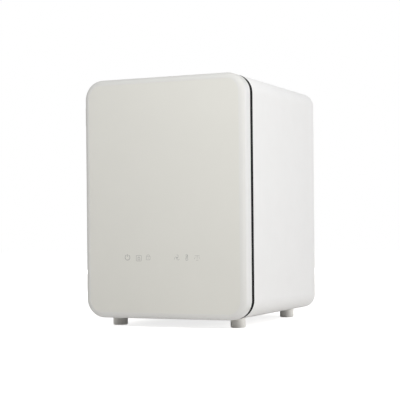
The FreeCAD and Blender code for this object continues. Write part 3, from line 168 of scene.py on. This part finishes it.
def finish_surface(tree, shader_inputs):
    """The one shader of a surface, joined to the material's output."""
    shader = add(tree, "ShaderNodeBsdfPrincipled", shader_inputs)
    add(tree, "ShaderNodeOutputMaterial", {"Surface": shader.outputs["BSDF"]})


# Materials

MARK_STRETCH = (1, 1, 2.5)
SPOTS_PER_METRE = 300.0


def plastic(name, colour, roughness, mottle=0.02, specular=0.5):
    """Moulded plastic: fine spark-eroded grain, a slow sink of the wall, mottling and handling marks."""
    material, tree = new_tree(name)
    grain = noise(tree, size=0.0009)
    sink = noise(tree, size=0.045, detail=1)
    cloud = patches(tree, size=0.03, detail=4, rough=0.6)
    marks = noise(tree, size=0.012, stretch=MARK_STRETCH, detail=5, rough=0.7)
    finish_surface(tree, {
        "Base Color": blend_colour(tree, cloud, shade(colour, 1 - mottle), shade(colour, 1 + mottle)),
        "Roughness": remap(tree, marks, low=roughness - 0.05, high=roughness + 0.06),
        "Normal": bump(tree, add_values(tree, grain, sink, share=3.0), distance=0.00002),
        "Specular IOR Level": specular,
    })
    return material


def lacquer(name, colour, roughness):
    """Pearl lacquer over a flat panel: a warm tone with a fine flake and a clear, slightly wavy coat."""
    material, tree = new_tree(name)
    flake = remap(tree, noise(tree, size=0.0004, detail=1), low=0, high=1, start=0.35, end=0.65)
    pearl = blend_colour(tree, flake, shade(colour, 0.99), shade(colour, 1.01))
    cloud = patches(tree, size=0.09, detail=1)
    gloss = noise(tree, size=0.03, detail=3)
    finish_surface(tree, {
        "Base Color": blend_colour(tree, cloud, pearl, shade(colour, 1.01)),
        "Roughness": remap(tree, gloss, low=roughness - 0.02, high=roughness + 0.03),
        "Normal": bump(tree, noise(tree, size=0.0022), distance=0.000006),
        "Coat Weight": 0.15,
        "Coat Roughness": 0.12,
    })
    return material


def two_tone_and_painted_light(name, front, sides_and_painted_underside, roughness):
    """Satin plastic in the panel's tone at the front and whiter where it faces left or right; where it
    faces down it is whiter too, as painted light that stands in for light from the floor below.
    """
    material, tree = new_tree(name)
    facing = add(tree, "ShaderNodeTexCoord", {}).outputs["Normal"]
    parts = add(tree, "ShaderNodeSeparateXYZ", {"Vector": facing})
    sideways = add(tree, "ShaderNodeMath", {0: parts.outputs["X"]}, operation="ABSOLUTE").outputs[0]
    beside = remap(tree, sideways, low=0, high=1, start=0.85, end=1)
    # Painted light: surfaces that face down are lightened as if lit from the floor below
    painted_underside_light = remap(tree, parts.outputs["Z"], low=1, high=0, start=-0.715, end=-0.1)
    tone = blend_colour(tree, greater(tree, beside, painted_underside_light), front, sides_and_painted_underside)
    cloud = patches(tree, size=0.03, detail=4, rough=0.6)
    brightness = remap(tree, cloud, low=0.994, high=1.006, start=0, end=1)
    mottled = add(tree, "ShaderNodeHueSaturation", {"Color": tone, "Value": brightness})
    marks = noise(tree, size=0.012, stretch=MARK_STRETCH, detail=4, rough=0.6)
    finish_surface(tree, {
        "Base Color": mottled.outputs["Color"],
        "Roughness": remap(tree, marks, low=roughness - 0.03, high=roughness + 0.04),
        "Normal": bump(tree, noise(tree, size=0.0009), distance=0.000015),
        "Specular IOR Level": 0.3,
    })
    return material


def brushed(name, colour, grain, roughness, stain=0.06):
    """Metal with fine drawn lines along one axis, a soft cloud of handling and small pits."""
    material, tree = new_tree(name)
    lines = noise(tree, size=0.00035, stretch=grain, detail=1, rough=0.4)
    cloud = patches(tree, size=0.025, detail=4, rough=0.6)
    pits = remap(tree, noise(tree, size=0.0012, detail=1), low=0, high=1, start=0.62, end=0.75)
    bright = blend_colour(tree, cloud, shade(colour, 1 - stain), colour)
    finish_surface(tree, {
        "Base Color": blend_colour(tree, lines, shade(colour, 0.9), bright),
        "Metallic": 1.0,
        "Roughness": remap(tree, lines, low=roughness - 0.07, high=roughness + 0.1),
        "Normal": bump(tree, add_values(tree, lines, pits, share=-0.3), distance=0.000004),
    })
    return material


def polished(name, colour, roughness):
    """Electropolished metal: nearly smooth, with a slow ripple and faint water marks."""
    material, tree = new_tree(name)
    marks = remap(tree, noise(tree, size=0.006, detail=5, rough=0.7), low=0, high=1, start=0.45)
    finish_surface(tree, {
        "Base Color": blend_colour(tree, marks, colour, shade(colour, 0.9)),
        "Metallic": 1.0,
        "Roughness": remap(tree, marks, low=roughness, high=roughness + 0.12, start=0, end=1),
        "Normal": bump(tree, noise(tree, size=0.004), distance=0.00002),
    })
    return material


def rubber(name, colour, roughness, specular=0.4):
    """Soft rubber or silicone: matt, with a bloom of dust in its fine texture."""
    material, tree = new_tree(name)
    texture = noise(tree, size=0.0007, detail=3)
    dust = remap(tree, noise(tree, size=0.008, detail=5, rough=0.7), low=0, high=1, start=0.4, end=0.75)
    finish_surface(tree, {
        "Base Color": blend_colour(tree, dust, colour, shade([c + 0.01 for c in colour], 1.12)),
        "Roughness": remap(tree, texture, low=roughness - 0.08, high=roughness + 0.08),
        "Normal": bump(tree, texture, distance=0.00004),
        "Specular IOR Level": specular,
    })
    return material


def glass(name):
    """Clear quartz with faint draw lines along the tube."""
    material, tree = new_tree(name)
    lines = noise(tree, size=0.0015, stretch=(30, 1, 1))
    finish_surface(tree, {
        "Base Color": blend_colour(tree, lines, (0.93, 0.95, 0.98), (1, 1, 1)),
        "Roughness": remap(tree, lines, low=0.01, high=0.05),
        "Normal": bump(tree, lines, distance=0.00001),
        "Transmission Weight": 1.0,
        "IOR": 1.46,
    })
    return material


def solder_mask(name, colour):
    """A circuit board: green mask over copper tracks both ways, with solder spots."""
    material, tree = new_tree(name)
    lying = noise(tree, size=0.0016, stretch=(14, 1, 1), detail=0)
    upright = noise(tree, size=0.0016, stretch=(1, 1, 14), detail=0)
    lying_tracks = remap(tree, lying, low=0, high=1, start=0.56, end=0.6)
    upright_tracks = remap(tree, upright, low=0, high=1, start=0.6, end=0.64)
    tracks = add_values(tree, lying_tracks, upright_tracks, share=1.0)
    where = add(tree, "ShaderNodeTexCoord", {}).outputs["Object"]
    cells = add(tree, "ShaderNodeTexVoronoi", {"Vector": where, "Scale": SPOTS_PER_METRE})
    spot = remap(tree, cells.outputs["Distance"], low=1, high=0, start=0.14, end=0.18)
    copper = remap(tree, tracks, low=0, high=1, start=0, end=1)
    mask = blend_colour(tree, copper, colour, shade(colour, 2.1))
    finish_surface(tree, {
        "Base Color": blend_colour(tree, spot, mask, (0.6, 0.6, 0.58)),
        "Metallic": remap(tree, spot, low=0, high=0.8, start=0, end=1),
        "Roughness": remap(tree, spot, low=0.38, high=0.2, start=0, end=1),
        "Normal": bump(tree, add_values(tree, tracks, spot, share=3.0), distance=0.00004),
    })
    return material


def filter_paper(name, colour):
    """Felted filter fibre."""
    material, tree = new_tree(name)
    fibre = noise(tree, size=0.0006, stretch=(1, 5, 1), detail=4, rough=0.7)
    cross = noise(tree, size=0.0006, stretch=(5, 1, 1), detail=4, rough=0.7)
    felt = add_values(tree, fibre, cross, share=1.0)
    tone = remap(tree, felt, low=0, high=1, start=0.7, end=1.3)
    finish_surface(tree, {
        "Base Color": blend_colour(tree, tone, shade(colour, 0.88), colour),
        "Roughness": 0.95,
        "Normal": bump(tree, felt, distance=0.0002),
        "Sheen Weight": 0.2,
    })
    return material


# How far the lines of drawn metal are stretched, along each axis
ALONG_X = (240, 1, 1)
ALONG_Y = (1, 240, 1)
ALONG_Z = (1, 1, 240)
EVEN = (1, 1, 1)

looks = {
    "case_white": plastic("case_white", (0.845, 0.845, 0.842), 0.42, mottle=0.008, specular=0.35),
    # The door's lighter tone colours its sides and, as painted light, its underside
    "door_white": two_tone_and_painted_light("door_white", (0.668, 0.666, 0.645), (0.785, 0.785, 0.78), 0.5),
    "panel_warm": lacquer("panel_warm", (0.668, 0.663, 0.62), 0.3),
    "frame_black": plastic("frame_black", (0.008, 0.008, 0.009), 0.6, mottle=0.1, specular=0.12),
    "liner_white": plastic("liner_white", (0.8, 0.8, 0.79), 0.38, mottle=0.01, specular=0.4),
    "gasket_black": rubber("gasket_black", (0.007, 0.007, 0.008), 0.65, specular=0.12),
    "stainless": brushed("stainless", (0.62, 0.62, 0.63), ALONG_Y, 0.28),
    "wire_steel": polished("wire_steel", (0.7, 0.7, 0.71), 0.14),
    "reflector": polished("reflector", (0.86, 0.87, 0.88), 0.06),
    "lamp_glass": glass("lamp_glass"),
    "cap_metal": brushed("cap_metal", (0.75, 0.75, 0.76), ALONG_X, 0.3),
    "socket_white": plastic("socket_white", (0.8, 0.8, 0.77), 0.5),
    "foot_grey": rubber("foot_grey", (0.9, 0.885, 0.85), 0.5),
    "zinc_steel": brushed("zinc_steel", (0.56, 0.57, 0.6), ALONG_X, 0.36, stain=0.15),
    "screw_steel": brushed("screw_steel", (0.5, 0.5, 0.51), EVEN, 0.3),
    "fan_black": plastic("fan_black", (0.025, 0.025, 0.027), 0.42, mottle=0.1),
    "bronze": brushed("bronze", (0.6, 0.42, 0.22), EVEN, 0.4),
    "bush_white": plastic("bush_white", (0.83, 0.83, 0.8), 0.3),
    "board_green": solder_mask("board_green", (0.03, 0.14, 0.06)),
    "pad_white": plastic("pad_white", (0.86, 0.86, 0.84), 0.55),
    "magnet_nickel": polished("magnet_nickel", (0.6, 0.6, 0.59), 0.2),
    "heater_fins": brushed("heater_fins", (0.72, 0.72, 0.72), ALONG_Z, 0.35),
    "grey_plastic": plastic("grey_plastic", (0.5, 0.5, 0.49), 0.5, mottle=0.03),
    "filter_white": filter_paper("filter_white", (0.82, 0.82, 0.78)),
}
slot_of = {part["node"]: part["material_slot"] for part in frame["record"]["subparts"]}
for name, node in frame["nodes"].items():
    for slot in node.material_slots:
        slot.material = looks[slot_of[name]]


# Flat lines and outlines, in an upright plane

# A corner widens its line by at most one over this value, so that a sharp one isn't drawn out
SHARPEST_CORNER = 0.4

# Steps round each corner of a large outline, and points in the section of a line
OUTLINE_STEPS = 24
SECTION = 4


def new_piece(name, vertices, faces, material):
    """A mesh in the scene."""
    mesh = bpy.data.meshes.new(name)
    mesh.from_pydata(vertices, [], faces)
    mesh.validate()
    mesh.materials.append(material)
    piece = bpy.data.objects.new(name, mesh)
    bpy.context.scene.collection.objects.link(piece)
    return piece


def ribbon(points, width, closed):
    """The two edges of a line of constant width along points: lists of matching (x, z) pairs."""
    left, right = [], []
    count = len(points)
    for index, point in enumerate(points):
        here = Vector(point)
        ways = []
        if closed or index > 0:
            ways.append((here - Vector(points[index - 1])).normalized())
        if closed or index < count - 1:
            ways.append((Vector(points[(index + 1) % count]) - here).normalized())
        along = sum(ways, Vector((0, 0))).normalized()
        across = Vector((-along.y, along.x))
        bend = abs(across.dot(Vector((-ways[0].y, ways[0].x))))
        spread = width / 2 / max(SHARPEST_CORNER, bend)
        left.append(here + across * spread)
        right.append(here - across * spread)
    return left, right


def arc(centre, radius, start, end, steps=20):
    """Points on a circle, from one angle in degrees to another."""
    angles = [math.radians(start + (end - start) * i / steps) for i in range(steps + 1)]
    return [(centre[0] + radius * math.cos(a), centre[1] + radius * math.sin(a)) for a in angles]


def ring(centre, radius, steps):
    """Points all the way round a circle."""
    return arc(centre, radius, 0, 360, steps)[:-1]


def rounded_box(x, z, radius, steps=5):
    """A closed outline with round corners."""
    points = []
    corners = ((x[1], z[1], 0), (x[0], z[1], 90), (x[0], z[0], 180), (x[1], z[0], 270))
    for corner_x, corner_z, start in corners:
        inner_x = corner_x - radius if corner_x == x[1] else corner_x + radius
        inner_z = corner_z - radius if corner_z == z[1] else corner_z + radius
        points += arc((inner_x, inner_z), radius, start, start + 90, steps)
    return points


def inset_outline(low, high, inset, corner):
    """The outline of a box seen from the front, drawn in by an inset, as a closed stroke."""
    x = (low.x + inset, high.x - inset)
    z = (low.z + inset, high.z - inset)
    return (rounded_box(x, z, corner - inset, OUTLINE_STEPS), True)


def flat_lines(name, strokes, width, low, high, material, body):
    """Flat lines between two depths, of one width: each stroke is its points and whether it is closed."""
    vertices, faces = [], []
    for points, closed in strokes:
        left, right = ribbon(points, width, closed)
        first = len(vertices)
        for a, b in zip(left, right):
            vertices += [(a.x, high, a.y), (b.x, high, b.y), (a.x, low, a.y), (b.x, low, b.y)]
        count = len(points)
        for index in range(count if closed else count - 1):
            here = first + SECTION * index
            there = first + SECTION * ((index + 1) % count)
            faces.append((here, here + 1, there + 1, there))
            faces.append((here + 2, there + 2, there + 3, here + 3))
            faces.append((here, there, there + 2, here + 2))
            faces.append((here + 1, here + 3, there + 3, there + 1))
        if not closed:
            last = first + SECTION * (count - 1)
            faces.append((first, first + 2, first + 3, first + 1))
            faces.append((last, last + 1, last + 3, last + 2))
    piece = new_piece(name, vertices, faces, material)
    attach(piece, body)


# Printed touch symbols on the front panel

INK_RISE = 0.00001
INK_ROOT = 0.00012

# Each sign is drawn in millimetres: its middle on the panel, its line's width and its strokes
signs = {
    "sign_power": {"middle": (-67.5, 120.6), "line": 1.0, "strokes": [
        (arc((0, 0), 4.6, 120, 420), False),
        ([(0, 1.2), (0, 5.6)], False),
    ]},
    "sign_bottle": {"middle": (-45.8, 119.3), "line": 0.6, "strokes": [
        (rounded_box((-4.8, 4.8), (-4.8, 4.8), 1.4), True),
        ([(-1.6, 1.2), (-1.6, -2.8), (1.6, -2.8), (1.6, 1.2)], False),
        ([(-2.0, 1.4), (2.0, 1.4)], False),
        ([(0, 1.6), (0, 3.2)], False),
    ]},
    "sign_lock": {"middle": (-28.0, 121.2), "line": 0.55, "strokes": [
        (rounded_box((-3.6, 3.6), (-4.8, 1.4), 1.2), True),
        (arc((0, 1.4), 2.5, 180, 0), False),
        ([(0, -0.6), (0, -2.8)], False),
    ]},
    "sign_fan": {"middle": (25.9, 120.0), "line": 0.55, "strokes": [
        (arc((0, 2.6), 2.4, -90, 100), False),
        (arc((-2.3, -1.3), 2.4, 30, 220), False),
        (arc((2.3, -1.3), 2.4, 150, 340), False),
        (ring((0, 0), 0.9, 12), True),
    ]},
    "sign_warm": {"middle": (43.9, 121.0), "line": 0.55, "strokes": [
        ([(-1.3, -1.8), (-1.3, 3.8)] + arc((0, 3.8), 1.3, 180, 0, 8) + [(1.3, 3.8), (1.3, -1.8)], False),
        (arc((0, -3.4), 2.2, 125, 415), False),
        ([(0, -3.4), (0, 2.2)], False),
    ]},
    "sign_lamp": {"middle": (63.0, 119.6), "line": 0.5, "strokes": [
        ([(-4.6, 3.8), (4.6, 3.8)], False),
        ([(0, 3.6), (0, -1.2)], False),
        ([(-3.6, 1.4), (-4.9, -1.6)], False),
        ([(3.6, 1.4), (4.9, -1.6)], False),
        ([(-2.0, -3.6), (2.0, -3.6)], False),
    ]},
}
ink = plastic("symbol_ink", (0.33, 0.33, 0.32), 0.55, mottle=0.05)
panel_low, panel_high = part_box("door_front_panel")
for name, sign in signs.items():
    middle_x, middle_z = sign["middle"]
    strokes = [([((middle_x + x) * MM, (middle_z + z) * MM) for x, z in points], closed)
               for points, closed in sign["strokes"]]
    flat_lines(name, strokes, sign["line"] * MM, panel_low.y + INK_ROOT, panel_low.y - INK_RISE, ink,
               "door")


# Bead of adhesive in the seam round the front panel, a little under its face

PANEL_CORNER = 0.0231
BEAD_WIDTH = 0.0008
BEAD_TOP = 0.00008
BEAD_ROOT = 0.0006

panel_outline = inset_outline(panel_low, panel_high, 0, PANEL_CORNER)
flat_lines("panel_bead", [panel_outline], BEAD_WIDTH, panel_low.y + BEAD_ROOT, panel_low.y + BEAD_TOP,
           looks["door_white"], "door")


# Painted shade: a thin black sheet on the front edge of the case, between its outer side and the front
# frame, where the gap between door and case is in shade

CASE_CORNER = 0.033
SHADE_SHEET_WIDTH = 0.00095
SHADE_SHEET_INSET = 0.000525
SHADE_SHEET_THICKNESS = 0.0003

case_low, case_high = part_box("outer_case")
shade_sheet_outline = inset_outline(case_low, case_high, SHADE_SHEET_INSET, CASE_CORNER)
flat_lines("case_edge_painted_shade", [shade_sheet_outline], SHADE_SHEET_WIDTH, case_low.y, case_low.y - SHADE_SHEET_THICKNESS,
           looks["frame_black"], "root")


# Electrodes inside the two lamp tubes: a coiled filament on two lead wires at each end

ELECTRODE_SETBACK = 0.021
ELECTRODE_FOOT = 0.0025
LEAD_RADIUS = 0.00035
LEAD_SPREAD = 0.0028
STEM_LENGTH = 0.007
STEM_SHARE = 0.6
COIL_RADIUS = 0.0008
COIL_WIRE = 0.0002
COIL_TURNS = 9
COIL_STEPS = 10
WIRE_SIDES = 6


def sweep(points, radius, vertices, faces):
    """A closed wire of constant radius along points, added to a mesh's lists."""
    first = len(vertices)
    count = len(points)
    for index, point in enumerate(points):
        along = (points[min(index + 1, count - 1)] - points[max(index - 1, 0)]).normalized()
        side = along.orthogonal().normalized()
        up = along.cross(side)
        for step in range(WIRE_SIDES):
            turn = math.tau * step / WIRE_SIDES
            vertices.append(point + radius * (math.cos(turn) * side + math.sin(turn) * up))
    for index in range(count - 1):
        here = first + index * WIRE_SIDES
        for step in range(WIRE_SIDES):
            after = (step + 1) % WIRE_SIDES
            faces.append((here + step, here + after, here + WIRE_SIDES + after, here + WIRE_SIDES + step))
    last = first + (count - 1) * WIRE_SIDES
    faces.append(tuple(first + step for step in reversed(range(WIRE_SIDES))))
    faces.append(tuple(last + step for step in range(WIRE_SIDES)))


def electrode(name, end, inward):
    """Two leads from the tube's end, closer together in their stem, and the coil across their tips."""
    vertices, faces = [], []
    tip = end + inward * ELECTRODE_SETBACK
    foot = end + inward * ELECTRODE_FOOT
    spread = Vector((0, 0, LEAD_SPREAD))
    for side in (-1, 1):
        stem = side * spread * STEM_SHARE
        lead = [foot + stem, foot + inward * STEM_LENGTH + stem, tip + side * spread]
        sweep(lead, LEAD_RADIUS, vertices, faces)
    coil = []
    for step in range(COIL_TURNS * COIL_STEPS + 1):
        turn = math.tau * step / COIL_STEPS
        share = step / (COIL_TURNS * COIL_STEPS)
        outward = Vector((0, math.sin(turn), 0)) + inward * math.cos(turn)
        coil.append(tip + spread * (2 * share - 1) + COIL_RADIUS * outward)
    sweep(coil, COIL_WIRE, vertices, faces)
    piece = new_piece(name, vertices, faces, looks["screw_steel"])
    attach(piece, "root")


for lamp in ("upper", "rear"):
    tube_low, tube_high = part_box(lamp + "_lamp_tube")
    middle = (tube_low + tube_high) / 2
    electrode(lamp + "_electrode_left", Vector((tube_low.x, middle.y, middle.z)), Vector((1, 0, 0)))
    electrode(lamp + "_electrode_right", Vector((tube_high.x, middle.y, middle.z)), Vector((-1, 0, 0)))


# Studio: floor, daylight from all sides, and soft lamps

WHITE = (1, 1, 1, 1)
FLOOR_SIZE = 12.0
FLOOR_COLOUR = (0.885, 0.868, 0.85)
FLOOR_GLOW = 0.77
AMBIENT = 0.29
LAMPS = {
    "key": {"place": (0.55, -1.1, 1.0), "aim": (0.05, -0.15, 0.3), "size": 0.8, "power": 11.9},
    "fill": {"place": (-1.4, -2.2, 0.9), "aim": (0, 0, 0.2), "size": 1.6, "power": 3.6},
    "side": {"place": (3.4, 1.0, 0.5), "aim": (0, 0, 0.2), "size": 2.0, "power": 54},
    "back": {"place": (-1.3, 2.4, 0.9), "aim": (0, 0, 0.22), "size": 1.6, "power": 22},
}


def floor():
    """A pale floor that reads as white to the camera where no shadow falls."""
    material, tree = new_tree("floor")
    paper = noise(tree, size=0.004, detail=4)
    colour = blend_colour(tree, paper, shade(FLOOR_COLOUR, 0.99), FLOOR_COLOUR)
    matt = add(tree, "ShaderNodeBsdfDiffuse", {"Color": colour})
    glow = add(tree, "ShaderNodeEmission", {"Color": WHITE, "Strength": FLOOR_GLOW})
    lit = add(tree, "ShaderNodeAddShader", {0: matt.outputs[0], 1: glow.outputs[0]})
    seen = add(tree, "ShaderNodeLightPath", {}).outputs["Is Camera Ray"]
    mixed = add(tree, "ShaderNodeMixShader", {0: seen, 1: matt.outputs[0], 2: lit.outputs[0]})
    add(tree, "ShaderNodeOutputMaterial", {"Surface": mixed.outputs[0]})
    half = FLOOR_SIZE / 2
    corners = [(-half, -half, 0), (half, -half, 0), (half, half, 0), (-half, half, 0)]
    ground = new_piece("floor", corners, [(0, 1, 2, 3)], material)


def surroundings():
    """White all round: full for the camera, mirrors and glass, and softer as light."""
    world = bpy.data.worlds.new("studio")
    world.use_nodes = True
    tree = world.node_tree
    tree.nodes.clear()
    white = add(tree, "ShaderNodeBackground", {"Color": WHITE, "Strength": 1.0})
    soft = add(tree, "ShaderNodeBackground", {"Color": WHITE, "Strength": AMBIENT})
    path = add(tree, "ShaderNodeLightPath", {}).outputs
    seen = greater(tree, path["Is Camera Ray"], path["Is Glossy Ray"])
    clear = greater(tree, seen, path["Is Transmission Ray"])
    mixed = add(tree, "ShaderNodeMixShader", {0: clear, 1: soft.outputs[0], 2: white.outputs[0]})
    add(tree, "ShaderNodeOutputWorld", {"Surface": mixed.outputs[0]})
    bpy.context.scene.world = world


def lamps():
    """Round soft lamps that light the surfaces but show in no reflection."""
    for name, lamp in LAMPS.items():
        data = bpy.data.lights.new(name, "AREA")
        data.shape = "DISK"
        data.size = lamp["size"]
        data.energy = lamp["power"]
        light = bpy.data.objects.new(name, data)
        bpy.context.scene.collection.objects.link(light)
        light.location = lamp["place"]
        light.visible_glossy = False
        way = Vector(lamp["aim"]) - Vector(lamp["place"])
        light.rotation_euler = way.to_track_quat("-Z", "Y").to_euler()


floor()
surroundings()
lamps()
aim_camera()
bpy.context.scene.view_settings.view_transform = "Standard"
